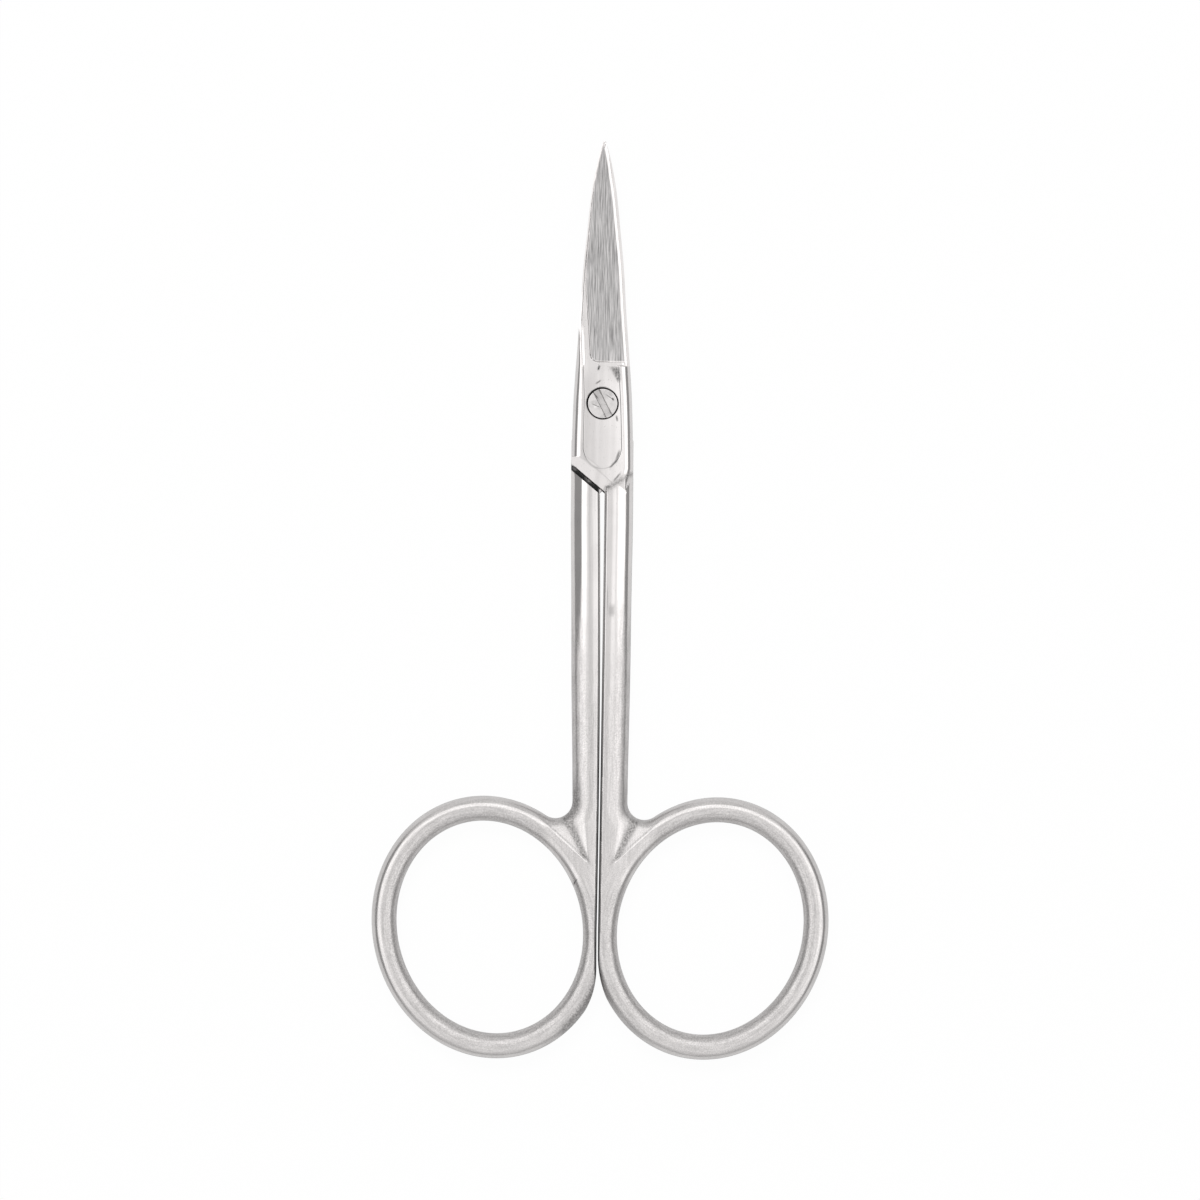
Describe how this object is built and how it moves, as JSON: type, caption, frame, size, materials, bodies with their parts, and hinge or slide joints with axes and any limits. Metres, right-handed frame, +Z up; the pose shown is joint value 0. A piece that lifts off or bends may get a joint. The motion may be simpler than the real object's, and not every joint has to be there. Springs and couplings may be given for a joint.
{
  "type": "manicure scissors",
  "caption": "Slim steel manicure scissors: pointed ground blades, a joint plate with a slotted pivot screw, straight shanks and leaning oval finger rings.",
  "frame": {"origin": "centre of the pivot screw's flush end, on the plane that the joint plate rests on, with the scissors lying closed", "axes": "+Y along the closed blades to the tips, +Z up out of the resting plane along the pivot, +X towards the ring of the upper half"},
  "size_m": [0.0448, 0.0901, 0.0032],
  "materials": {
    "front_half": "polished steel; the blade's face is ground satin lengthwise",
    "back_half": "polished steel; the blade's face is ground satin lengthwise",
    "screw": "fine ground steel"
  },
  "bodies": {
    "back_half": {"back_blade_half": "back_half", "pivot_screw": "screw"},
    "front_half": {"front_blade_half": "front_half"}
  },
  "joints": [
    {"name": "pivot", "type": "hinge", "parent": "back_half", "child": "front_half", "pos_m": [0, 0, 0.0016], "axis": [0, 0, 1], "range_deg": [0, 132]}
  ]
}
